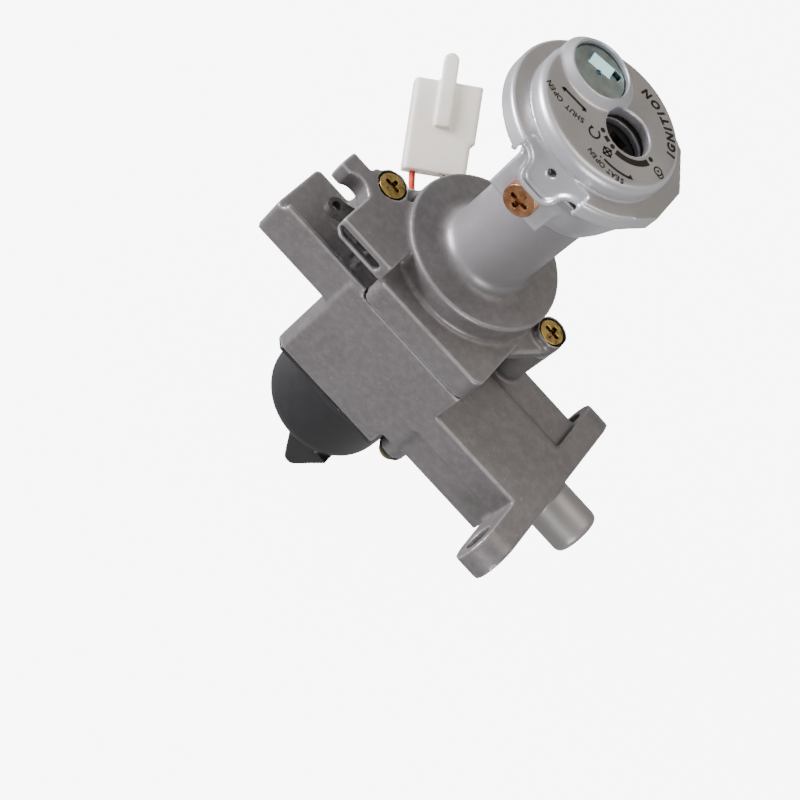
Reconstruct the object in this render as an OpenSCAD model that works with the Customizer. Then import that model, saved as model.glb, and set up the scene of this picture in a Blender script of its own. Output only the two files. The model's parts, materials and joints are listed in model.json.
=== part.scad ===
// Ignition switch of a scooter: a key barrel with a shutter cover, a steering lock,
// a seat release and an electric switch with its lead.
// Sizes are in millimetres. Shapes are drawn round the key axis, with z = 0 on top of the round
// flange, and are then moved so that the origin is the middle of the two-hole mounting face.

/* [Barrel] */
// Radius of the neck that holds the lock plug
neck_r = 12.65; // [12.2:0.05:13.2]
// Height of the neck above the round flange
neck_h = 54; // [52:0.5:60]
// Radius of the round flange
disc_r = 24; // [22:0.5:26]
// Height of the round flange
disc_h = 7; // [6:0.25:8]
// Radius of the lock plug
plug_r = 8; // [7.7:0.1:8.3]

/* [Cover] */
// Radius of the cover's upper face
face_r = 20.8; // [20.6:0.1:22]
// Radius of the cover's lower tier
tier_r = 25.4; // [25:0.2:26]
// Height of the lower tier
tier_h = 5; // [4.5:0.25:6]
// Thickness of the cover's face
face_t = 3; // [2.6:0.1:3.4]
// Thickness of the cover's side walls
cap_wall = 2.4; // [2:0.1:2.5]
// Radius of the keyhole
keyhole_r = 6.6; // [6:0.1:6.8]
// Radius of the raised boss round the magnet rotor
boss_r = 10.7; // [10.2:0.1:11.4]
// Height of the raised boss
boss_h = 2.2; // [1.8:0.1:3]
// Radius of the magnet rotor
rotor_r = 7.86; // [7.2:0.02:8.2]

/* [Housings] */
// Distance from the key axis to the front of both housings
front = 30; // [29:0.5:32]
// Distance from the key axis to the back of the lower housing
back = 12; // [11.5:0.5:13]
// Height of the upper housing below the round flange
upper_h = 9.5; // [9:0.25:11]
// Height of the lower housing's block
block_h = 33.8; // [33:0.2:36]
// Height of the foot under the block
foot_h = 6.4; // [5:0.2:8]
// Wall thickness of the hood and the tray
wall = 2; // [1.6:0.1:2.4]
// Reach of the cable tray from the key axis
tray_reach = 47.2; // [45:0.2:50]
// Height of the cable tray
tray_h = 12.5; // [10:0.5:15]

/* [Mounting flange and steering lock] */
// Distance from the key axis to the inner face of the mounting flange
arm_reach = 56; // [54:0.5:60]
// Thickness of the mounting flange
flange_t = 8; // [6:0.5:10]
// Distance between the two mounting holes
hole_span = 55; // [50:0.5:60]
// Radius of the mounting holes
hole_r = 4.2; // [3.2:0.1:4.5]
// Radius of the flange's round ends
ear_r = 8.1; // [7.8:0.1:9]
// Radius of the nose round the lock bolt
nose_r = 7.6; // [7.2:0.1:8]
// Length of the nose
nose_l = 14.6; // [12:0.2:18]
// Radius of the lock bolt
bolt_r = 5; // [4.7:0.1:5.2]
// Travel of the lock bolt for each radian of key turn
bolt_lead = 5.9; // [5.6:0.05:6]

/* [Electric switch] */
// Radius of the switch cup
cup_r = 20; // [19.6:0.1:21]
// Depth of the switch cup below its lip
cup_h = 27.8; // [26:0.2:30]
// Thickness of the cup's wall
cup_wall = 2; // [1.6:0.1:2.2]

/* [Lead and plug] */
// Diameter of the lead's sleeve
sleeve_d = 5.5; // [5:0.1:5.8]
// Diameter of each wire
wire_d = 1.6; // [1.4:0.1:1.8]
// Width of the plug housing
plug_w = 19.5; // [18:0.5:22]
// Thickness of the plug housing
plug_t = 10; // [9:0.5:11]
// Length of the plug housing
plug_l = 26; // [22:0.5:30]

/* [Hidden] */
$fn = 72;

// Clearances: running fits, moving parts that pass each other, still parts that seat
run = 0.05;
pass = 0.3;
seat = 0.03;
over = 1;
edge = 0.6;

// Colours
cast_grey = [0.46, 0.44, 0.45];
silver = [0.72, 0.72, 0.74];
zinc_gold = [0.72, 0.6, 0.3];
copper = [0.75, 0.5, 0.38];
steel = [0.66, 0.68, 0.7];
brass = [0.8, 0.65, 0.35];
black = [0.1, 0.1, 0.11];
milky = [0.88, 0.87, 0.82];

// Mounting face and axis of the lock bolt
seat_x = arm_reach + flange_t;
bolt_y = -13.6;
bolt_z = -36.1;

// Levels and centres of the cover
cover_x = -5.5;
face_z = neck_h + 6.5;
tier_top = face_z - 5.5;
tier_low = tier_top - tier_h;
rim_round = 2;
tier_round = 1;
tier_plate = 2.2;
groove_d = 0.6;
groove_h = 0.8;
cavity_r = face_r - cap_wall;
tier_cavity_r = tier_r - cap_wall;
tier_corner_r = tier_r + 1.1;
tier_corners = [45, 15, -15];
boss_at = [-15.3, 6.2];
boss_taper = 2.2;
rotor_floor = face_z - face_t + 1;
rotor_face = face_z + boss_h - 1.7;
rotor_gap = 0.25;
rotor_dimple_r = 0.8;
rotor_window = [[2.5, 2.9], [4.8, 5.6]];
rotor_window_deep = 1.8;
ridge_at = [-4.3, 2.3];
ridge_turn = 12.8;
ridge_l = 6.8;
ridge_h = 1.4;
ridge_flanks = [-2.5, 2.1];
hub_r = 5;
spigot_w = 5;
shutter_t = 1;
shutter_top = face_z - face_t - pass;
shutter_low = shutter_top - shutter_t;
shutter_r = keyhole_r + pass;
shutter_reach = norm(boss_at);
shutter_swing = 52;
shutter_rest = atan2(-boss_at[1], -boss_at[0]) - shutter_swing;

// Pocket in the front of the cover, with the tongue that hangs from its back wall
pocket_half = 10;
pocket_y = -20;
pocket_hole_r = 1.2;
pocket_hole_z = tier_low + 1;
tongue_half = 5.6;
tongue_round = 3.4;
tongue_flare = 4.4;
tongue_bend = tier_low - 3;

// Base of the cover
pad_r = cavity_r - 0.5;
pad_top = shutter_low - pass;
bowl_r = 19.5;
bowl_waist = [17.5, 6];
bowl_foot = [15.5, 13];
bowl_top_h = 2;
bowl_flange_r = tier_r - 1.4;
bowl_flange_t = 1.5;
collar_r = neck_r + 1.25;
collar_h = 17;
collar_low = tier_low - collar_h;
clamp_x = [-14, 3];
clamp_y = -16.5;
clamp_top = tier_low - 4;
clamp_h = 14.5;
clamp_low = clamp_top - clamp_h;
cover_screw_z = clamp_low + 5.5;
cover_screw_r = 2.4;
cover_head_r = 4.5;
cover_head_t = 2.6;
recess_d = 1.4;
cap_screw_r = 1.3;
cap_screw_l = 4;
cap_head_r = 2.4;
cap_head_t = 1.6;
cap_boss_r = 3;
cap_screw_ring = tier_cavity_r - 1.7;
cap_screw_angles = [125, 195];

// Lock plug and its wafers
web_top = 8;
plug_top = neck_h - 2;
plug_head_r = plug_r + 1.2;
plug_head_t = 2.5;
tail_r = 4;
tail_low = -3;
clip_low = -1.2;
clip_t = 1;
clip_in_r = 3.2;
clip_r = 6.5;
clip_gap = 4;
tongue_t = 3;
tongue_w = 7;
tongue_h = 4;
slot_t = 2.4;
slot_w = 8.6;
slot_low = 10;
wafer_t = 1;
wafer_w = 6.8;
wafer_low = 14;
wafer_pitch = 5.6;
wafer_window = [3, 9.2];
wafer_ear_x = 5.7;
wafer_ear_y = [1.5, 3.5];
wafer_spring_x = 4.7;
wafer_spring_r = 0.65;
wafer_spring_wire = 0.15;
wafer_spring_low = -4.4;
guide_t = 1.7;

// Upper housing
part_z = -disc_h - upper_h;
neck_fillet = 3.4;
plate_left = -14.3;
plate_right = 24.5;
plate_wall = 3;
plate_ceiling = -disc_h - wall;
body_r = 20;
corner_r = 3;
core_r = 10;
hood_left = -31.8;
hood_top = -1.2;
hood_low = -7.8;
hood_right = -13.9;
hood_corner = 3.9;
hood_corner_deep = 4;
hood_back = -8;
band_left = -16.5;
slot_x = [-31.2, -16.5];
slot_z = [-6.5, -3.4];
slot_corner = 3;
ear_x = -43.2;
ear_y = [-17.3, -10.7];
lug_x = [-36.2, -29];
lug_back = -8.3;
hump_x = [-26.8, -14];
hump_y = [-10, 1.1];
hump_top = -5;
notch_at = [-36.3, -20.1];
notch_r = 4.5;
lever_gate = [-17, 5];

// Screws that hold the housings together
left_screw = [-29.9, -8.8];
right_screw = [29.6, 6.4];
post_r = 5;
screw_r = 2;
screw_l = 17;
screw_head_r = 3.9;
screw_head_t = 2.4;
head_room = 0.5;
left_seat = hood_top - screw_head_t;
right_top = -8.5;
right_low = -15;
right_seat = right_top - 2.7;
right_web_t = 4;
right_web = [[18, -10], [plate_right, -10], right_screw + [4, -3.3], right_screw + [-2.6, 4.5], [18, 8.5]];

// Lower housing
block_low = part_z - block_h;
foot_low = block_low - foot_h;
block_left = -21.2;
block_right = 24.2;
foot_right = 18.9;
block_bevel = 3;
arm_top = bolt_z + ear_r;
arm_back = 10.4;
arm_ridge = -4;
arm_drop = 3;
arm_setback = 1;
arm_step_z = arm_top - 11;
nose_round = 2;
tray_floor = part_z - 0.5;
tray_low = tray_floor - tray_h;
tray_rim = tray_floor + 2;
tray_y = [0.7 - front, -9.5];
tray_corner = 1.5;
tray_gap = 1;
tray_groove_y = [tray_y[0] + 3.6, tray_y[1] - 1.2];

// Drive shaft and cam
shaft_r = 4;
shaft_top = tail_low - run;
shaft_thin_r = 3.2;
shaft_thin_z = block_low + 3;
lug_z = [-8, -6.5];
lug_reach = 8.5;
lug_w = 4;
lug_angle = 225;
key_on = -31.5;
key_lock = 87.4;
cam_t = 9.6;
cam_low = bolt_z - cam_t / 2;
cam_on = 3;
cam_off = cam_on - bolt_lead * key_on * PI / 180;
cam_lock = cam_off + bolt_lead * key_lock * PI / 180;
cam_first = cam_on - 0.6;
cam_steps = 18;
cam_tip = norm([cam_lock, bolt_lead]);
cam_tip_angle = 244;
chamber_r = cam_tip + 1.5 * pass;
chamber_top = cam_low + cam_t + over;
chamber_back = 6.8;
chamber_side = -7;

// Steering lock
shoe_gap = 0.15;
shoe_x = cam_off + shoe_gap;
shoe_t = 4;
shoe_y = [bolt_y - 5, -3];
shoe_h = 10;
shoe_end = shoe_x + shoe_t;
shoe_room_x = shoe_end + cam_lock - cam_off + pass;
shoe_door_x = foot_right - 2.4;
shoe_pin_r = 0.75;
stem_r = 3.5;
stem_tip_r = 2.5;
stem_end = 40;
shoulder_x = 36;
bolt_tip = seat_x + nose_l - 1.6;
bolt_spring_r = bolt_r + 0.3;
bolt_spring_wire = 0.4;
bolt_spring_turns = 9;
spring_bore_r = bolt_spring_r + bolt_spring_wire + 0.5;

// Seat lever
lever_at = [-24, -15];
lever_low = -13;
lever_t = 2.5;
lever_pin_r = 2;
lever_pin_deep = 6;
lever_hub_r = 3;
lever_shoulder_r = 2.6;
lever_arm_w = 4.6;
lever_drive = [-6, -5];
lever_cable = [-36, -20];
lever_end_r = 2.6;
lever_hole_r = 1.4;
lever_spring_r = 2.8;
lever_spring_wire = 0.35;
lever_boss_r = 3.5;

// Electric switch
cup_at = [2.5, -9.8];
lip_t = 1.5;
lip_low = foot_low - lip_t;
cup_low = lip_low - cup_h;
cup_round = 6;
cup_floor = 3;
ledge_w = 1.5;
tail_x = [0.8, 16.6];
tail_y = [-26, -15];
tail_tip = [8.5, cup_low - 12.7];
tail_round = 2.4;
tail_arc = [205, 325];
switch_screw_at = [[24.5, -24], [-17.2, 9]];
switch_screw_r = 1.5;
switch_screw_l = 9;
switch_head_r = 3.2;
switch_head_t = 2.2;
switch_boss_r = 4.4;
carrier_r = 7.4;
carrier_h = 11;
carrier_top = lip_low - 1.2;
carrier_low = carrier_top - carrier_h;
square_w = 4.4;
socket_h = 5;
contact_top = carrier_low - 0.8;
contact_ring = 3;
contact_r = 1.1;
contact_angles = [key_on, 180 + key_on];
contact_spring_r = 1.4;
contact_spring_wire = 0.25;
base_top = contact_top - 0.8;
base_t = 2;
bridge_l = 9;
bridge_w = 4;
bridge_t = 0.8;
bridge_low = contact_top + pass;
bridge_room = 4;
ball_r = 1.3;
ball_lift = 0.1;
ball_ring = 5.6;
detent_spring_r = 0.8;
detent_spring_wire = 0.18;

// Lead: route of the sleeve, then of the middle of the four wires
sleeve_route = [[4, 16, -72], [4, 16, -66], [4, 16.2, -58], [3, 16.8, -48], [-1, 17.6, -38]];
wires_route = [[-1.11, 17.62, -37.72], [-2.5, 17.9, -34.2], [-7.2, 18, -29.9], [-13.2, 18, -26.2],
    [-18.9, 18.2, -22.9], [-23.2, 19.3, -20.4], [-26.29, 22.1, -17.98]];
lead_side = [0.6, 0.8, 0];
wire_spread = [[-1, -1], [-1, 1], [1, -1], [1, 1]];
wire_close = 1.05;
outlet_at = [sleeve_route[0][0], sleeve_route[0][1]];
outlet_top = sleeve_route[0][2];
outlet_r = 4.6;
outlet_h = 12;

// Plug at the end of the lead
plug_turn = [-58.25, -21.98, 32.61];
wire_side = -1.8;
plug_at = wires_route[len(wires_route) - 1] - turned([wire_side, 0, 0], plug_turn);
plug_round = 1;
plug_skin = 1.6;
mouth_deep = 12;
wire_pitch = [4.8, 1.8];
wire_hole_deep = 2;
plug_step = 1.2;
plug_step_l = 9.4;
latch_x = -0.6;
latch_w = 4.4;
latch_t = 1.4;
latch_past = 8;
terminal_w = 2.2;
terminal_t = 0.8;
terminal_l = 9;

// Moves a shape drawn round the key axis into the part's own frame
module placed() {
    translate([-seat_x, -bolt_y, -bolt_z]) children();
}

// Flat outline raised between two heights
module slab(low, high) {
    translate([0, 0, low]) linear_extrude(high - low) children();
}

// Outline in Y and Z, drawn out along X
module along_x(from, to) {
    translate([from, 0, 0]) rotate([90, 0, 90]) linear_extrude(to - from) children();
}

// Rectangle with round corners
module rounded(left, right, low, high, r) {
    translate([left + r, low]) square([right - left - 2 * r, high - low]);
    translate([left, low + r]) square([right - left, high - low - 2 * r]);
    for (x = [left + r, right - r], y = [low + r, high - r]) translate([x, y]) circle(r);
}

// Block between two corners
module block(from, to) {
    translate(from) cube(to - from);
}

// Upright rod between two heights
module rod(at, r, low, high) {
    translate([at[0], at[1], low]) cylinder(r = r, h = high - low);
}

// Rod along X on the lock bolt's axis
module bolt_rod(r, from, to) {
    translate([from, bolt_y, bolt_z]) rotate([0, 90, 0]) cylinder(r = r, h = to - from);
}

// Straight bar between two points, seen from above
module bar(from, to, w) {
    d = to - from;
    translate(from) rotate(atan2(d[1], d[0])) translate([0, -w / 2]) square([norm(d), w]);
}

// Cross recess in a screw head that faces up
module cross_recess(at, size, top) {
    translate([at[0], at[1], top - recess_d]) for (turn = [0, 90])
        rotate(turn) translate([-size / 2, -size / 8, 0]) cube([size, size / 4, recess_d + over]);
}

// Points along an arc
function arc(x, y, r, from, to, n = 5) =
    [for (i = [0 : n]) let (a = from + (to - from) * i / n) [x + r * cos(a), y + r * sin(a)]];

// Tube swept along a route, with its rings square to it
function unit(v) = v / norm(v);
function heading(route, i) = unit(route[min(i + 1, len(route) - 1)] - route[max(i - 1, 0)]);
function ring(at, d, r, sides, up) =
    let (u = unit(cross(d, up)), v = cross(d, u))
    [for (k = [0 : sides - 1]) let (a = 360 * k / sides) at + r * (cos(a) * u + sin(a) * v)];

module tube(route, r, sides, up) {
    last = len(route) - 1;
    points = [for (i = [0 : last]) each ring(route[i], heading(route, i), r, sides, up)];
    walls = [for (i = [0 : last - 1], k = [0 : sides - 1])
        let (a = i * sides + k, b = i * sides + (k + 1) % sides)
        each [[a, a + sides, b + sides], [a, b + sides, b]]];
    start = [for (k = [0 : sides - 1]) k];
    end = [for (k = [sides - 1 : -1 : 0]) last * sides + k];
    polyhedron(points, concat(walls, [start, end]));
}

// Coil spring round Z between two heights
module coil(r, wire_r, low, high, turns, steps = 12, sides = 6) {
    n = turns * steps;
    rise = (high - low - 2 * wire_r) / n;
    tube([for (i = [0 : n]) let (a = 360 * i / steps) [r * cos(a), r * sin(a), low + wire_r + rise * i]],
        wire_r, sides, [0, 0, 1]);
}

// Direction turned about X, then Y, then Z
function turned(v, t) =
    let (a = [v[0], v[1] * cos(t[0]) - v[2] * sin(t[0]), v[1] * sin(t[0]) + v[2] * cos(t[0])],
        b = [a[0] * cos(t[1]) + a[2] * sin(t[1]), a[1], a[2] * cos(t[1]) - a[0] * sin(t[1])])
    [b[0] * cos(t[2]) - b[1] * sin(t[2]), b[0] * sin(t[2]) + b[1] * cos(t[2]), b[2]];

// Route of one wire: close to the others at the sleeve, spread to its own hole at the plug
function wire_route(k) =
    let (last = len(wires_route) - 1,
        wide = turned([1, 0, 0], plug_turn))
    [for (i = [0 : last])
        let (d = heading(wires_route, i),
            u = unit(wide - (wide * d) * d),
            open = [for (p = wire_pitch) wire_close + (p - wire_close) * i / last])
        wires_route[i] + open[0] * wire_spread[k][0] * u + open[1] * wire_spread[k][1] * cross(d, u)];

function cap_screw_at(a) = [cover_x + cap_screw_ring * cos(a), cap_screw_ring * sin(a)];

// Two tiers of the cover as one turned shell
module cap_shell() {
    translate([cover_x, 0, 0]) rotate_extrude() polygon(concat(
        [[0, face_z - face_t], [cavity_r, face_z - face_t], [cavity_r, tier_top - tier_plate],
            [tier_cavity_r, tier_top - tier_plate], [tier_cavity_r, tier_low], [tier_r, tier_low]],
        arc(tier_r - tier_round, tier_top - tier_round, tier_round, 0, 90),
        [[face_r - groove_d, tier_top], [face_r - groove_d, tier_top + groove_h],
            [face_r, tier_top + groove_h]],
        arc(face_r - rim_round, face_z - rim_round, rim_round, 0, 90),
        [[0, face_z]]));
}

// Boss that stands on the face and bulges past its edge
module rotor_boss() {
    difference() {
        union() {
            rod(boss_at, boss_r, tier_top - tier_plate, face_z);
            translate([boss_at[0], boss_at[1], face_z])
                cylinder(r1 = boss_r, r2 = boss_r - boss_taper, h = boss_h);
        }
        rod([cover_x, 0], cavity_r, tier_top - tier_plate - over, face_z - face_t);
    }
}

// Flat sides of the lower tier on its right
module tier_flats() {
    lean = acos(tier_r / tier_corner_r);
    ends = [tier_corners[0] + lean, tier_corners[len(tier_corners) - 1] - lean];
    angles = concat([ends[0]], tier_corners, [ends[1]]);
    radii = concat([tier_r - seat], [for (a = tier_corners) tier_corner_r], [tier_r - seat]);
    last = len(angles) - 1;
    translate([cover_x, 0, 0]) slab(tier_low, tier_top) polygon(concat(
        [for (i = [0 : last]) radii[i] * [cos(angles[i]), sin(angles[i])]],
        [for (i = [last : -1 : 0]) (tier_r - cap_wall / 2) * [cos(angles[i]), sin(angles[i])]]));
}

// Back wall of the pocket and its tongue, drawn out along Y
module tongue(from, to, grow) {
    side = pocket_half + cap_wall + grow;
    flare_x = tongue_half + tongue_flare;
    flare_r = tongue_flare - grow;
    round_x = tongue_half - tongue_round;
    round_r = tongue_round + grow;
    translate([cover_x, to, 0]) rotate([90, 0, 0]) linear_extrude(to - from) polygon(concat(
        [[-side, tier_top - edge], [-side, tongue_bend + flare_r]],
        arc(-flare_x, tongue_bend, flare_r, 90, 0),
        arc(-round_x, tongue_bend, round_r, 198, 270, 4),
        arc(round_x, tongue_bend, round_r, 270, 342, 4),
        arc(flare_x, tongue_bend, flare_r, 180, 90),
        [[side, tongue_bend + flare_r], [side, tier_top - edge]]));
}

module cover_cap() {
    color(silver) placed() difference() {
        union() {
            cap_shell();
            tier_flats();
            rotor_boss();
            tongue(pocket_y, pocket_y + cap_wall, 0);
            for (a = cap_screw_angles)
                rod(cap_screw_at(a), cap_boss_r, tier_low, tier_top - tier_plate + edge);
        }
        rod([0, 0], keyhole_r, face_z - face_t - over, face_z + over);
        rod(boss_at, rotor_r + rotor_gap, rotor_floor, face_z + boss_h + over);
        rod(boss_at, hub_r + run, face_z - face_t - over, rotor_floor + over);
        block([cover_x - pocket_half, pocket_y - front, tier_low - over],
            [cover_x + pocket_half, pocket_y, tier_top]);
        translate([cover_x, pocket_y - over, pocket_hole_z]) rotate([-90, 0, 0])
            cylinder(r = pocket_hole_r, h = cap_wall + 2 * over);
        for (a = cap_screw_angles)
            rod(cap_screw_at(a), cap_screw_r + seat, tier_low - over,
                tier_low - bowl_flange_t + cap_screw_l + seat);
    }
}

module cover_base() {
    wide = pocket_half + cap_wall + pass;
    color(silver) placed() difference() {
        union() {
            rotate_extrude() polygon([[0, collar_low], [collar_r, collar_low],
                [bowl_foot[0], tier_low - bowl_foot[1]], [bowl_waist[0], tier_low - bowl_waist[1]],
                [bowl_r, tier_low - bowl_top_h], [bowl_r, tier_low], [0, tier_low]]);
            rod([cover_x, 0], bowl_flange_r, tier_low - bowl_flange_t, tier_low);
            rod([cover_x, 0], pad_r, tier_low - over, pad_top);
            block([clamp_x[0], clamp_y, clamp_low], [clamp_x[1], 0, clamp_top]);
        }
        rod([0, 0], neck_r + run, clamp_low - over, neck_h + seat);
        rod([0, 0], keyhole_r + pass, neck_h, pad_top + over);
        block([cover_x - wide, pocket_y - front, tier_low - bowl_flange_t - pass],
            [cover_x + wide, pocket_y + cap_wall + pass, face_z]);
        tongue(pocket_y - front, pocket_y + cap_wall + pass, pass);
        translate([cover_x, clamp_y - over, cover_screw_z]) rotate([-90, 0, 0])
            cylinder(r = cover_screw_r + seat, h = -clamp_y);
        translate([cover_x, clamp_y, cover_screw_z]) rotate([90, 0, 0])
            cylinder(r = cover_head_r + head_room, h = bowl_r);
        for (a = cap_screw_angles) {
            rod(cap_screw_at(a), cap_screw_r + pass, tier_low - bowl_flange_t - over, tier_low + over);
            rod(cap_screw_at(a), cap_head_r + pass, clamp_low, tier_low - bowl_flange_t);
        }
    }
}

module cover_screw() {
    color(copper) placed() translate([cover_x, clamp_y, cover_screw_z]) rotate([-90, 0, 0]) difference() {
        union() {
            rod([0, 0], cover_head_r, -cover_head_t, 0);
            rod([0, 0], cover_screw_r, -edge, -clamp_y - neck_r);
        }
        mirror([0, 0, 1]) cross_recess([0, 0], cover_head_r * 1.2, cover_head_t);
    }
}

module cap_screws() {
    low = tier_low - bowl_flange_t;
    color(steel) placed() for (a = cap_screw_angles) {
        rod(cap_screw_at(a), cap_head_r, low - cap_head_t, low);
        rod(cap_screw_at(a), cap_screw_r, low - edge, low + cap_screw_l);
    }
}

module magnet_rotor() {
    color(steel) placed() translate([boss_at[0], boss_at[1], 0]) difference() {
        union() {
            rod([0, 0], rotor_r, rotor_floor + run, rotor_face);
            rod([0, 0], hub_r, shutter_top, rotor_floor + over);
            block([-spigot_w / 2, -spigot_w / 2, shutter_low],
                [spigot_w / 2, spigot_w / 2, shutter_top + edge]);
            translate([ridge_at[0], ridge_at[1], rotor_face - edge]) rotate([90, 0, 90 + ridge_turn])
                linear_extrude(ridge_l) polygon([[ridge_flanks[0], 0], [ridge_flanks[1], 0],
                    [ridge_flanks[1], edge], [0, edge + ridge_h], [ridge_flanks[0], edge]]);
        }
        rod([0, 0], rotor_dimple_r, rotor_face - edge, rotor_face + over);
        block([rotor_window[0][0], rotor_window[0][1], rotor_face - rotor_window_deep],
            [rotor_window[1][0], rotor_window[1][1], rotor_face + 2 * over]);
    }
}

module shutter_plate() {
    tip = shutter_reach * [cos(shutter_rest), sin(shutter_rest)];
    half = spigot_w / 2 + seat;
    color(steel) placed() translate([boss_at[0], boss_at[1], 0]) difference() {
        slab(shutter_low, shutter_top) {
            circle(hub_r + over);
            bar([0, 0], tip, 2 * hub_r);
            translate(tip) circle(shutter_r);
        }
        block([-half, -half, shutter_low - over], [half, half, shutter_top + over]);
    }
}

// Neck and round flange as one turned shape
module neck_and_disc() {
    rotate_extrude() polygon(concat(
        [[0, -disc_h], [disc_r, -disc_h]],
        arc(disc_r - edge, -edge, edge, 0, 90, 3),
        arc(neck_r + neck_fillet, neck_fillet, neck_fillet, 270, 180),
        [[neck_r, neck_h - edge], [neck_r - edge, neck_h], [0, neck_h]]));
}

// Hood over the seat lever with an ear on its left, open below and slotted in front
module hood() {
    difference() {
        slab(hood_low, hood_top) {
            rounded(hood_left, hood_right, -front, hood_back, edge);
            rounded(ear_x, hood_left + corner_r, ear_y[0], ear_y[1], edge);
            rounded(lug_x[0], lug_x[1], ear_y[0], lug_back, edge);
        }
        block([hood_left + wall, wall - front, hood_low - over],
            [band_left, hood_back - wall, hood_top - wall]);
        translate([0, wall - front + over, 0]) rotate([90, 0, 0]) linear_extrude(wall + 2 * over)
            polygon(concat([[slot_x[1], slot_z[1]], [slot_x[0], slot_z[1]]],
                arc(slot_x[0] + slot_corner, slot_z[0] + slot_corner, slot_corner, 180, 270),
                [[slot_x[1], slot_z[0]]]));
        translate([0, hood_corner_deep - front, 0]) rotate([90, 0, 0])
            linear_extrude(hood_corner_deep + over) difference() {
                translate([hood_left - over, hood_low - over]) square(hood_corner + over);
                translate([hood_left + hood_corner, hood_low + hood_corner]) circle(hood_corner);
            }
        rod(notch_at, notch_r, hood_low - over, hood_top + over);
    }
}

module upper_housing() {
    color(cast_grey) placed() difference() {
        union() {
            neck_and_disc();
            slab(part_z, -disc_h) {
                rounded(plate_left, plate_right, -front, 0, corner_r);
                circle(body_r);
            }
            hood();
            slab(hood_low, hump_top)
                rounded(hump_x[0], hump_x[1], hump_y[0], hump_y[1], corner_r);
            rod(left_screw, post_r, hood_low, hood_top);
            rod(right_screw, post_r, right_low, right_top);
            slab(right_low, right_low + right_web_t) polygon(right_web);
        }
        slab(part_z - over, plate_ceiling) {
            rounded(plate_left + plate_wall, plate_right - plate_wall, plate_wall - front, 0, over);
            circle(body_r - plate_wall);
        }
        rod([0, 0], core_r, plate_ceiling - over, 0);
        rod([0, 0], tail_r + run, -over, web_top + over);
        rod([0, 0], plug_r + run, web_top, neck_h + over);
        rod([0, 0], plug_head_r + run, plug_top - plug_head_t - pass, neck_h + over);
        block([-body_r - over, lever_gate[0], part_z - over],
            [plate_left + plate_wall + over, lever_gate[1], plate_ceiling]);
        rod(left_screw, screw_r + pass, hood_low - over, hood_top + over);
        rod(left_screw, screw_head_r + head_room, left_seat, hood_top + over);
        rod(right_screw, screw_r + pass, right_low - over, right_top + over);
        rod(right_screw, screw_head_r + head_room, right_seat, right_top + over);
    }
}

module housing_screws() {
    color(zinc_gold) placed() for (s = [[left_screw, left_seat], [right_screw, right_seat]]) difference() {
        union() {
            rod(s[0], screw_head_r, s[1], s[1] + screw_head_t);
            rod(s[0], screw_r, s[1] - screw_l, s[1] + edge);
        }
        cross_recess(s[0], screw_head_r * 1.2, s[1] + screw_head_t);
    }
}

// Cable tray with its hollow underside
module tray() {
    left = -tray_reach;
    difference() {
        union() {
            slab(tray_low, tray_floor) rounded(left, block_left + over, tray_y[0], tray_y[1], tray_corner);
            block([left + tray_corner + tray_gap, tray_y[0], tray_low],
                [plate_left - seat, tray_y[0] + wall, tray_rim]);
        }
        slab(tray_low - over, tray_floor - wall)
            rounded(left + wall, block_left - wall, tray_y[0] + wall, tray_y[1] - wall, over);
        block([left + wall, tray_groove_y[0], tray_floor - over],
            [left + wall + over, tray_groove_y[1], tray_floor + over]);
    }
}

// Mounting flange, outlined in Y and Z
module flange_outline() {
    for (s = [-1, 1]) translate([bolt_y + s * hole_span / 2, bolt_z]) circle(ear_r);
    translate([bolt_y - hole_span / 2, bolt_z - ear_r]) square([hole_span, 2 * ear_r]);
}

// Arm from the block to the flange, outlined in Y and Z
module arm_outline() {
    polygon([[arm_setback - front, block_low], [arm_setback - front, arm_step_z],
        [-front, arm_step_z + arm_setback], [-front, arm_top], [arm_ridge, arm_top],
        [arm_ridge + arm_drop, arm_top - arm_drop], [arm_back, arm_top - arm_drop], [arm_back, block_low]]);
}

module nose() {
    translate([seat_x - over, bolt_y, bolt_z]) rotate([0, 90, 0]) rotate_extrude() polygon(concat(
        [[0, 0], [nose_r, 0]],
        arc(nose_r - nose_round, nose_l + over - nose_round, nose_round, 0, 90),
        [[0, nose_l + over]]));
}

// Outline of the block, bevelled at its front left edge
module block_outline(right) {
    polygon([[block_left + block_bevel, -front], [right, -front], [right, back], [block_left, back],
        [block_left, block_bevel - front]]);
}

// Room for the cam and the shoe, open below so that they go in from there
module cam_room() {
    reach = chamber_r + over;
    slab(foot_low - over, chamber_top) intersection() {
        circle(chamber_r);
        union() {
            translate([-reach, -reach]) square([2 * reach, reach]);
            translate([chamber_side, -over]) square([reach - chamber_side, chamber_back + over]);
        }
    }
    block([cam_first, shoe_y[0] - pass, foot_low - over],
        [shoe_door_x, shoe_y[1] + pass, bolt_z + shoe_h / 2 + pass]);
    block([cam_first, shoe_y[0] - pass, bolt_z - shoe_h / 2 - pass],
        [shoe_room_x, shoe_y[1] + pass, bolt_z + shoe_h / 2 + pass]);
}

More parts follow.
